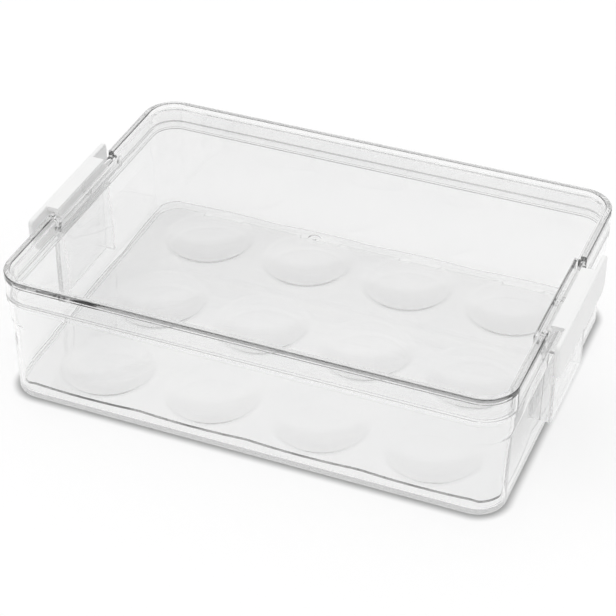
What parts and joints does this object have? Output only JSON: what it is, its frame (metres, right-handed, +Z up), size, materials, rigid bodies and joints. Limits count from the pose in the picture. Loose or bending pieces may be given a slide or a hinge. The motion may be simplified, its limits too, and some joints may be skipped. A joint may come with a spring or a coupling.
{
  "type": "egg keeper",
  "caption": "Clear lidded fridge bin with a lift-out tray of egg cups, a lift-off lid and a white snap latch hinged at each short end.",
  "frame": {"origin": "centre of the base, on the surface that the keeper stands on", "axes": "+X along the length, towards the right-hand latch; +Y towards the back; +Z up"},
  "size_m": [0.266, 0.178, 0.068],
  "materials": {
    "clear_plastic": "clear moulded plastic, polished, with a faint grey tint at its edges",
    "white_plastic": "opaque white moulded plastic, soft gloss"
  },
  "bodies": {
    "bin": {"bin": "clear_plastic"},
    "tray": {"egg_tray": "clear_plastic"},
    "lid": {"lid": "clear_plastic"},
    "latch_left": {"latch_left": "white_plastic"},
    "latch_right": {"latch_right": "white_plastic"}
  },
  "joints": [
    {"name": "tray_lift", "type": "slide", "parent": "bin", "child": "tray", "axis": [0, 0, 1], "range_m": [0, 0.044]},
    {"name": "lid_lift", "type": "slide", "parent": "bin", "child": "lid", "axis": [0, 0, 1], "range_m": [0, 0.03]},
    {"name": "latch_left_hinge", "type": "hinge", "parent": "lid", "child": "latch_left", "pos_m": [-0.1235, 0, 0.0639], "axis": [0, 1, 0], "range_deg": [0, 105]},
    {"name": "latch_right_hinge", "type": "hinge", "parent": "lid", "child": "latch_right", "pos_m": [0.1235, 0, 0.0639], "axis": [0, -1, 0], "range_deg": [0, 105]}
  ]
}
